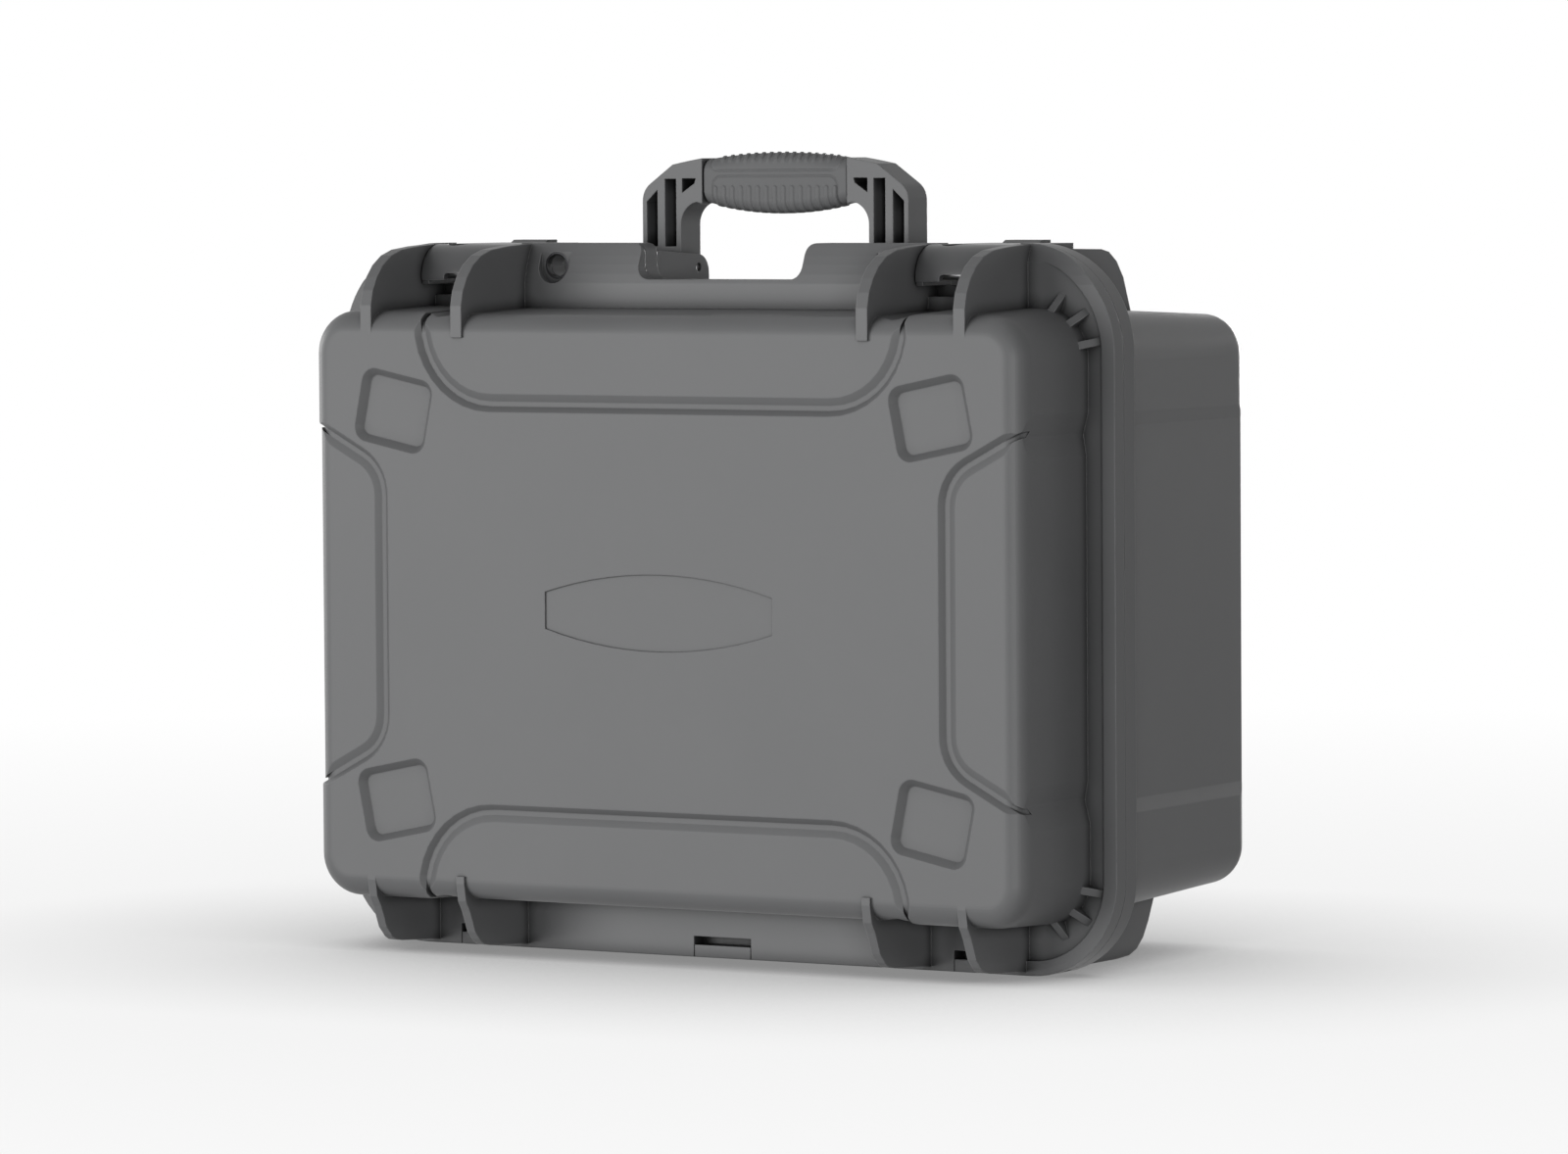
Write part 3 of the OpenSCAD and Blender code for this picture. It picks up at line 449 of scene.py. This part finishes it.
# A grid is rolled into a tube along x, its seam is merged and its two ends are filled.
def makeGrip(look):
    low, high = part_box("handle_grip")
    middleY = (low.y + high.y) / 2
    crownZ = high.z - look["skin"]
    bellyZ = low.z + look["skin"]
    sections = []
    for i in range(look["columns"] + 1):
        x = low.x + (high.x - low.x) * i / look["columns"]
        top = crownZ - look["crownRadius"] + math.sqrt(look["crownRadius"] ** 2 - x * x)
        bottom = bellyZ + look["bellyRadius"] - math.sqrt(look["bellyRadius"] ** 2 - x * x)
        drop = look["endDrop"] * (1 - smoothStep(0, look["endRound"], min(x - low.x, high.x - x)))
        section = []
        for y, z, ny, nz in gripSection(look, bottom, top, low.y + look["skin"], high.y - look["skin"]):
            lift = gripLift(look, x, y, z, bellyZ, crownZ, middleY) - drop
            section.append((x, y + ny * lift, z + nz * lift))
        sections.append(section)
    around = len(sections[0])
    bm = bmesh.new()
    bmesh.ops.create_grid(bm, x_segments=look["columns"], y_segments=around, size=0.5)
    for vert in bm.verts:
        i = round((vert.co.x + 0.5) * look["columns"])
        k = round((vert.co.y + 0.5) * around) % around
        vert.co = sections[i][k]
    bmesh.ops.remove_doubles(bm, verts=bm.verts, dist=0.000001)
    bmesh.ops.edgeloop_fill(bm, edges=[edge for edge in bm.edges if edge.is_boundary])
    grip = finishMesh("rubber_grip", bm, 50)
    grip.data.materials.append(gripRubber)
    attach(grip, "handle")
    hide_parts("handle_grip")


makeGrip(gripLook)
print("grip made")


# Rounded rectangles that face the parting line: loops of edges, bridged at their depths.


# Points of a rounded rectangle, anticlockwise, always the same number of them.
def roundedLoop(halfX, halfZ, radius, middle=(0, 0), perCorner=14, perSide=10):
    radius = max(radius, 0.0005)
    points = []
    corners = [(1, 1, 0), (-1, 1, 90), (-1, -1, 180), (1, -1, 270)]
    for k, (sx, sz, start) in enumerate(corners):
        cx, cz = sx * (halfX - radius), sz * (halfZ - radius)
        for i in range(perCorner + 1):
            a = math.radians(start + 90 * i / perCorner)
            points.append((cx + radius * math.cos(a), cz + radius * math.sin(a)))
        nx, nz, after = corners[(k + 1) % 4]
        b = math.radians(after)
        end = (nx * (halfX - radius) + radius * math.cos(b), nz * (halfZ - radius) + radius * math.sin(b))
        last = points[-1]
        for i in range(1, perSide):
            t = i / perSide
            points.append((last[0] + (end[0] - last[0]) * t, last[1] + (end[1] - last[1]) * t))
    return [(x + middle[0], z + middle[1]) for x, z in points]


# A closed loop of edges at one depth.
def addLoop(bm, points, y):
    verts = [bm.verts.new((x, y, z)) for x, z in points]
    return [bm.edges.new((vert, after)) for vert, after in zip(verts, verts[1:] + verts[:1])]


def joinLoops(bm, a, b):
    bmesh.ops.bridge_loops(bm, edges=a + b)


def fillBetween(bm, outer, holes):
    bmesh.ops.triangle_fill(bm, use_beauty=True, use_dissolve=False, edges=sum(holes, outer))


foamShape = {
    "edge": 0.003,
    "laptopHalf": (0.192, 0.131),
    "laptopRadius": 0.012,
    "laptopDepth": 0.040,
    "pocketHalf": (0.076, 0.101),
    "pocketOffset": 0.096,
    "pocketRadius": 0.010,
    "pocketDepth": 0.060,
    "trayRadius": 0.0236,
    "lidRadius": 0.0206,
    "wavePitch": 0.030,
    "waveDepth": 0.017,
    "gridStep": 0.0032,
    "fill": 0.9,
}


# (inset, depth) pairs that round an edge over, from the wall to the face.
def edgeTurn(edge, steps=5):
    turns = [math.radians(90 * i / steps) for i in range(steps + 1)]
    return [(edge * (1 - math.cos(turn)), edge * (1 - math.sin(turn))) for turn in turns]


def finishFoam(name, bm, body, node, smoothAngle=40):
    foam = finishMesh(name, bm, smoothAngle)
    foam.data.materials.append(openCellFoam)
    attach(foam, body)
    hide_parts(node)


def makeTray(shape):
    low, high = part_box("base_foam_tray")
    halfX, halfZ = (high.x - low.x) / 2, (high.z - low.z) / 2
    middle = ((low.x + high.x) / 2, (low.z + high.z) / 2)
    edge = shape["edge"]
    bm = bmesh.new()

    def outer(inset, y):
        radius = shape["trayRadius"] - inset
        return addLoop(bm, roundedLoop(halfX - inset, halfZ - inset, radius, middle), y)

    def hole(half, radius, grow, y, offset=0):
        place = (middle[0] + offset, middle[1])
        return addLoop(bm, roundedLoop(half[0] + grow, half[1] + grow, radius + grow, place), y)

    back = outer(0, high.y)
    wall = back
    for inset, depth in edgeTurn(edge):
        ring = outer(inset, low.y + depth)
        joinLoops(bm, wall, ring)
        wall = ring
    pocket = hole(shape["laptopHalf"], shape["laptopRadius"], edge, low.y)
    fillBetween(bm, wall, [pocket])
    floorY = low.y + shape["laptopDepth"]
    for inset, depth in reversed(edgeTurn(edge)[:-1]):
        ring = hole(shape["laptopHalf"], shape["laptopRadius"], inset, low.y + depth)
        joinLoops(bm, pocket, ring)
        pocket = ring
    ring = hole(shape["laptopHalf"], shape["laptopRadius"], 0, floorY)
    joinLoops(bm, pocket, ring)
    mouths = []
    for side in (-1, 1):
        offset = side * shape["pocketOffset"]
        mouth = hole(shape["pocketHalf"], shape["pocketRadius"], edge, floorY, offset)
        mouths.append(mouth)
        inner = mouth
        for inset, depth in reversed(edgeTurn(edge)[:-1]):
            turn = hole(shape["pocketHalf"], shape["pocketRadius"], inset, floorY + depth, offset)
            joinLoops(bm, inner, turn)
            inner = turn
        bottom = hole(shape["pocketHalf"], shape["pocketRadius"], 0, floorY + shape["pocketDepth"], offset)
        joinLoops(bm, inner, bottom)
        bmesh.ops.edgeloop_fill(bm, edges=bottom)
    fillBetween(bm, ring, mouths)
    bmesh.ops.edgeloop_fill(bm, edges=back)
    finishFoam("foam_tray", bm, "base", "base_foam_tray")


def makeFloorPad(shape):
    low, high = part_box("base_foam_floor")
    halfX, halfZ = (high.x - low.x) / 2, (high.z - low.z) / 2
    middle = ((low.x + high.x) / 2, (low.z + high.z) / 2)
    bm = bmesh.new()
    rings = []
    turns = edgeTurn(shape["edge"])
    sides = [(inset, high.y - depth) for inset, depth in reversed(turns)]
    sides += [(inset, low.y + depth) for inset, depth in turns]
    for inset, y in sides:
        radius = shape["trayRadius"] - inset
        rings.append(addLoop(bm, roundedLoop(halfX - inset, halfZ - inset, radius, middle), y))
    for a, b in zip(rings, rings[1:]):
        joinLoops(bm, a, b)
    for ring in (rings[0], rings[-1]):
        bmesh.ops.edgeloop_fill(bm, edges=ring)
    finishFoam("foam_floor_pad", bm, "base", "base_foam_floor")


# Convoluted foam: its face to the laptop is cut in rows of soft peaks.
def makeLidFoam(shape):
    low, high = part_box("lid_foam")
    radius = shape["lidRadius"]
    step = shape["gridStep"]
    columns = round((high.x - low.x) / step)
    rows = round((high.z - low.z) / step)
    wave = 2 * math.pi / shape["wavePitch"]
    bm = bmesh.new()
    bmesh.ops.create_grid(bm, x_segments=columns, y_segments=rows, size=0.5)
    for vert in bm.verts:
        x = low.x + (high.x - low.x) * round((vert.co.x + 0.5) * columns) / columns
        z = low.z + (high.z - low.z) * round((vert.co.y + 0.5) * rows) / rows
        cornerX = min(max(x, low.x + radius), high.x - radius)
        cornerZ = min(max(z, low.z + radius), high.z - radius)
        away = math.hypot(x - cornerX, z - cornerZ)
        if away > radius:
            x = cornerX + (x - cornerX) * radius / away
            z = cornerZ + (z - cornerZ) * radius / away
        peak = 0.5 + 0.25 * (math.cos(wave * x) + math.cos(wave * z))
        vert.co = (x, high.y - shape["waveDepth"] * (1 - smoothStep(0, 1, peak)), z)
    bmesh.ops.remove_doubles(bm, verts=bm.verts, dist=0.0004)
    bmesh.ops.dissolve_degenerate(bm, edges=bm.edges, dist=0.0003)
    rim = [edge for edge in bm.edges if edge.is_boundary]
    made = bmesh.ops.extrude_edge_only(bm, edges=rim)["geom"]
    for vert in made:
        if isinstance(vert, bmesh.types.BMVert):
            vert.co.y = low.y
    rim = [edge for edge in bm.edges if edge.is_boundary]
    bmesh.ops.contextual_create(bm, geom=rim)
    finishFoam("convoluted_lid_foam", bm, "lid", "lid_foam", 60)


makeTray(foamShape)
makeFloorPad(foamShape)
makeLidFoam(foamShape)
print("foam made")


# The seal: a round-backed rubber band that lies in the lid's groove.

sealShape = {"halfWidth": 0.0021, "crown": 0.0009, "radius": 0.0287, "steps": 8}


def makeSeal(shape):
    low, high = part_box("lid_seal")
    middle = ((low.x + high.x) / 2, (low.z + high.z) / 2)
    half = shape["halfWidth"]
    halfX, halfZ = (high.x - low.x) / 2 - half, (high.z - low.z) / 2 - half
    section = [(-half, low.y), (-half, high.y - shape["crown"])]
    for i in range(1, shape["steps"]):
        a = math.radians(180 - 180 * i / shape["steps"])
        section.append((half * math.cos(a), high.y - shape["crown"] * (1 - math.sin(a))))
    section += [(half, high.y - shape["crown"]), (half, low.y)]
    bm = bmesh.new()
    rings = [
        addLoop(bm, roundedLoop(halfX + out, halfZ + out, shape["radius"] + out, middle), y)
        for out, y in section]
    for a, b in zip(rings, rings[1:] + rings[:1]):
        joinLoops(bm, a, b)
    seal = finishMesh("rubber_seal", bm, 40)
    seal.data.materials.append(sealRubber)
    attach(seal, "lid")
    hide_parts("lid_seal")


makeSeal(sealShape)
print("seal made")


# Stage: a pale floor whose darkening under the case is a painted shadow, a white background and soft studio
# lights.

floorLook = {
    "size": 14,
    "shadow": (0.02, 0.02, 0.02),
    "nearShade": 0.1,  # near the case, gone at fadeEnd
    "fadeStart": 0.4,
    "fadeEnd": 1.8,
    "contactShadow": 0.65,
    "contactReach": 0.3,
}


def makeFloor(look):
    bm = bmesh.new()
    bmesh.ops.create_grid(bm, x_segments=4, y_segments=4, size=look["size"])
    floor = finishMesh("floor", bm)
    material, shader, position = newMaterial("paintedShadowFloor")
    tree = material.node_tree
    # The floor film's alpha is painted shadow: a faint tint near the case and a contact shadow from ambient
    # occlusion.
    length = addNode(tree, "ShaderNodeVectorMath", {0: position}, operation="LENGTH")
    far = addNode(
        tree, "ShaderNodeMapRange",
        {"Value": length.outputs["Value"], "From Min": look["fadeStart"], "From Max": look["fadeEnd"],
         "To Min": look["nearShade"], "To Max": 0})
    near = addNode(tree, "ShaderNodeAmbientOcclusion", {"Distance": look["contactReach"]}, samples=12)
    contactShadow = addNode(
        tree, "ShaderNodeMapRange",
        {"Value": near.outputs["AO"], "From Min": 0.2, "From Max": 1, "To Min": look["contactShadow"], "To Max": 0})
    shadow = addNode(
        tree, "ShaderNodeMath", {0: far.outputs["Result"], 1: contactShadow.outputs["Result"]}, operation="ADD")
    tree.links.new(shadow.outputs[0], shader.inputs["Alpha"])
    shader.inputs["Base Color"].default_value = (*look["shadow"], 1)
    shader.inputs["Specular IOR Level"].default_value = 0
    floor.data.materials.append(material)
    floor.visible_diffuse = False
    floor.visible_glossy = False


lightAim = (0, 0, 0.2)
lightLooks = {
    "keyFront": {"place": (-1.9, -3.3, 0.3), "size": (2.6, 1.7), "power": 140},
    "frontRight": {"place": (2.4, -3.4, 0.32), "size": (1.2, 0.8), "power": 92},
    "sideRight": {"place": (3.4, -0.9, 0.36), "size": (1.6, 1.0), "power": 8},
    "sideLeft": {"place": (-3.4, 0.2, 0.6), "size": (1.4, 1.0), "power": 40},
    "rear": {"place": (-0.6, 3.8, 0.5), "size": (1.8, 1.0), "power": 120},
    "top": {"place": (0, 0.2, 3.4), "size": (2.4, 2.0), "power": 8},
}


def makeLights(looks):
    for name, look in looks.items():
        data = bpy.data.lights.new(name, "AREA")
        data.shape = "RECTANGLE"
        data.size, data.size_y = look["size"]
        data.energy = look["power"]
        light = bpy.data.objects.new(name, data)
        bpy.context.scene.collection.objects.link(light)
        light.location = look["place"]
        light.visible_camera = False
        aim = Vector(lightAim) - Vector(look["place"])
        light.rotation_mode = "QUATERNION"
        light.rotation_quaternion = aim.to_track_quat("-Z", "Y")


worldLook = {"background": 1.0, "fill": 0.05}


# White where it is seen straight, mirrored or through glass, and a faint fill elsewhere.
def makeWorld(look):
    world = bpy.data.worlds.new("studio")
    bpy.context.scene.world = world
    world.use_nodes = True
    tree = world.node_tree
    tree.nodes.clear()
    output = tree.nodes.new("ShaderNodeOutputWorld")
    seen = addNode(tree, "ShaderNodeBackground", {"Color": (1, 1, 1, 1), "Strength": look["background"]})
    fill = addNode(tree, "ShaderNodeBackground", {"Color": (1, 1, 1, 1), "Strength": look["fill"]})
    rays = tree.nodes.new("ShaderNodeLightPath").outputs
    direct = addNode(
        tree, "ShaderNodeMath", {0: rays["Is Camera Ray"], 1: rays["Is Glossy Ray"]}, operation="ADD")
    white = addNode(
        tree, "ShaderNodeMath", {0: direct.outputs[0], 1: rays["Is Transmission Ray"]}, operation="MAXIMUM")
    mix = addNode(
        tree, "ShaderNodeMixShader", {0: white.outputs[0], 1: fill.outputs[0], 2: seen.outputs[0]})
    tree.links.new(mix.outputs[0], output.inputs["Surface"])


makeFloor(floorLook)
makeLights(lightLooks)
makeWorld(worldLook)
bpy.context.scene.view_settings.view_transform = "Standard"
print("stage made")
